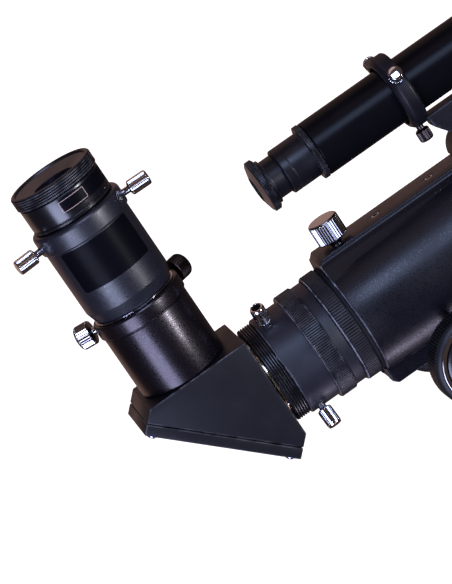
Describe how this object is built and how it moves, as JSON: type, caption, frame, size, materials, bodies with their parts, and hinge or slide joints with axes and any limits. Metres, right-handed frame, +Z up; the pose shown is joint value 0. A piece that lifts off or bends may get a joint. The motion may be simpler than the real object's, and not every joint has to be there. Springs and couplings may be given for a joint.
{
  "type": "refractor telescope",
  "caption": "Small refractor on tube rings and a dovetail bar, with rack focuser, star diagonal, Barlow, eyepiece and finder.",
  "frame": {"origin": "centre of the dovetail bar's bottom face", "axes": "+X forwards along the optical axis to the objective, +Z up towards the finder and the eyepiece, +Y to the left"},
  "size_m": [0.7451, 0.117, 0.1819],
  "materials": {
    "black_anodised": "black anodised, satin, fine bead-blasted grain",
    "steel": "machined steel",
    "tube_paint": "black gloss enamel",
    "flat_black": "flat black",
    "glass": "multi-coated optical glass",
    "housing_paint": "black satin paint over a casting, worn white at the mouth",
    "teflon": "plain low-friction plastic",
    "brass": "machined brass",
    "rubber": "ribbed black rubber",
    "black_plastic": "satin black moulded plastic",
    "chrome": "bright chrome, knurled where it is turned by hand"
  },
  "bodies": {
    "cradle": {"dovetail_bar": "black_anodised", "rear_ring_base": "black_anodised", "front_ring_base": "black_anodised", "rear_ring_cap": "black_anodised", "front_ring_cap": "black_anodised", "rear_ring_pin": "steel", "front_ring_pin": "steel"},
    "rear_clamp": {"rear_clamp_knob": "black_plastic"},
    "front_clamp": {"front_clamp_knob": "black_plastic"},
    "tube": {"main_tube": "tube_paint", "tube_baffle": "flat_black", "objective_cell": "black_anodised", "crown_lens": "glass", "flint_lens": "glass", "lens_retainer": "black_anodised", "dew_shield": "tube_paint", "focuser_housing": "housing_paint", "rail_screw_rear": "steel", "rail_screw_front": "steel", "pinion_bracket": "housing_paint", "tension_pad": "teflon", "finder_bracket": "black_plastic"},
    "pinion": {"pinion_shaft": "steel", "pinion_gear": "brass", "right_focus_knob": "rubber", "left_focus_knob": "rubber", "right_knob_cap": "black_plastic", "left_knob_cap": "black_plastic"},
    "focus_lock": {"focus_lock_screw": "chrome"},
    "drawtube": {"drawtube": "chrome", "drawtube_ring": "black_anodised", "rack": "steel", "eyepiece_adapter": "black_plastic", "thread_collar": "black_anodised"},
    "adapter_screw_upper": {"adapter_screw_upper": "chrome"},
    "adapter_screw_lower": {"adapter_screw_lower": "chrome"},
    "nosepiece": {"diagonal_nosepiece": "chrome"},
    "diagonal": {"diagonal_housing": "black_plastic", "diagonal_cover": "black_plastic", "diagonal_prism": "glass", "diagonal_tube": "black_anodised"},
    "diagonal_screw_left": {"diagonal_screw_left": "chrome"},
    "diagonal_screw_right": {"diagonal_screw_right": "chrome"},
    "barlow": {"barlow_body": "black_plastic", "barlow_barrel": "chrome", "barlow_lens": "glass"},
    "barlow_screw_left": {"barlow_screw_left": "chrome"},
    "barlow_screw_right": {"barlow_screw_right": "chrome"},
    "eyepiece": {"eyepiece_body": "black_anodised", "eyepiece_rim": "rubber", "eye_lens": "glass"},
    "finder": {"finder_tube": "tube_paint", "finder_sleeve": "black_plastic", "finder_objective": "glass"},
    "finder_ocular": {"finder_eyepiece": "black_plastic", "finder_eye_lens": "glass"},
    "finder_screw_bottom": {"finder_screw_bottom": "chrome"},
    "finder_screw_right": {"finder_screw_right": "chrome"},
    "finder_screw_left": {"finder_screw_left": "chrome"}
  },
  "joints": [
    {"name": "tube_slide", "type": "slide", "parent": "cradle", "child": "tube", "axis": [1, 0, 0], "range_m": [-0.1, 0.028]},
    {"name": "rear_clamp_turn", "type": "hinge", "parent": "cradle", "child": "rear_clamp", "pos_m": [-0.055, -0.0545, 0.067], "axis": [0, 0, 1], "range_deg": [0, 1080]},
    {"name": "front_clamp_turn", "type": "hinge", "parent": "cradle", "child": "front_clamp", "pos_m": [0.055, -0.0545, 0.067], "axis": [0, 0, 1], "range_deg": [0, 1080]},
    {"name": "focus_travel", "type": "slide", "parent": "tube", "child": "drawtube", "axis": [-1, 0, 0], "range_m": [0, 0.08]},
    {"name": "pinion_spin", "type": "hinge", "parent": "tube", "child": "pinion", "pos_m": [-0.1912, 0, 0.035], "axis": [0, -1, 0], "range_deg": [0, 960]},
    {"name": "focus_lock_turn", "type": "hinge", "parent": "tube", "child": "focus_lock", "pos_m": [-0.2095, 0, 0.1], "axis": [0, 0, 1], "range_deg": [0, 720]},
    {"name": "adapter_screw_upper_turn", "type": "hinge", "parent": "drawtube", "child": "adapter_screw_upper", "pos_m": [-0.2504, 0, 0.067], "axis": [0, -0.3827, 0.9239], "range_deg": [0, 720]},
    {"name": "adapter_screw_lower_turn", "type": "hinge", "parent": "drawtube", "child": "adapter_screw_lower", "pos_m": [-0.2504, 0, 0.067], "axis": [0, -0.5, -0.866], "range_deg": [0, 720]},
    {"name": "nosepiece_slide", "type": "slide", "parent": "drawtube", "child": "nosepiece", "axis": [-1, 0, 0], "range_m": [0, 0.028]},
    {"name": "diagonal_turn", "type": "hinge", "parent": "nosepiece", "child": "diagonal", "pos_m": [-0.262, 0, 0.067], "axis": [1, 0, 0], "range_deg": [-180, 180]},
    {"name": "diagonal_screw_left_turn", "type": "hinge", "parent": "diagonal", "child": "diagonal_screw_left", "pos_m": [-0.2862, 0, 0.12], "axis": [-0.9397, 0.342, 0], "range_deg": [0, 720]},
    {"name": "diagonal_screw_right_turn", "type": "hinge", "parent": "diagonal", "child": "diagonal_screw_right", "pos_m": [-0.2862, 0, 0.12], "axis": [0.866, 0.5, 0], "range_deg": [0, 720]},
    {"name": "barlow_slide", "type": "slide", "parent": "diagonal", "child": "barlow", "axis": [0, 0, 1], "range_m": [0, 0.03]},
    {"name": "barlow_screw_left_turn", "type": "hinge", "parent": "barlow", "child": "barlow_screw_left", "pos_m": [-0.2862, 0, 0.16], "axis": [-0.9848, -0.1736, 0], "range_deg": [0, 720]},
    {"name": "barlow_screw_right_turn", "type": "hinge", "parent": "barlow", "child": "barlow_screw_right", "pos_m": [-0.2862, 0, 0.16], "axis": [0.9962, -0.0872, 0], "range_deg": [0, 720]},
    {"name": "eyepiece_slide", "type": "slide", "parent": "barlow", "child": "eyepiece", "axis": [0, 0, 1], "range_m": [0, 0.026]},
    {"name": "finder_tilt", "type": "hinge", "parent": "tube", "child": "finder", "pos_m": [-0.11, 0, 0.1305], "axis": [0, 1, 0], "range_deg": [-1.6, 1.6]},
    {"name": "finder_screw_bottom_travel", "type": "slide", "parent": "tube", "child": "finder_screw_bottom", "axis": [0, 0, 1], "range_m": [-0.0014, 0.0014]},
    {"name": "finder_screw_right_travel", "type": "slide", "parent": "tube", "child": "finder_screw_right", "axis": [0, 0.866, -0.5], "range_m": [-0.0007, 0.0007]},
    {"name": "finder_screw_left_travel", "type": "slide", "parent": "tube", "child": "finder_screw_left", "axis": [0, -0.866, -0.5], "range_m": [-0.0007, 0.0007]},
    {"name": "finder_focus", "type": "slide", "parent": "finder", "child": "finder_ocular", "axis": [-1, 0, 0], "range_m": [-0.005, 0.006]}
  ],
  "couplings": [
    {"joint": "pinion_spin", "follows": "focus_travel", "rad_per_m": 208.33},
    {"joint": "finder_screw_bottom_travel", "follows": "finder_tilt", "m_per_rad": 0.0477},
    {"joint": "finder_screw_right_travel", "follows": "finder_tilt", "m_per_rad": -0.02385},
    {"joint": "finder_screw_left_travel", "follows": "finder_tilt", "m_per_rad": -0.02385}
  ]
}
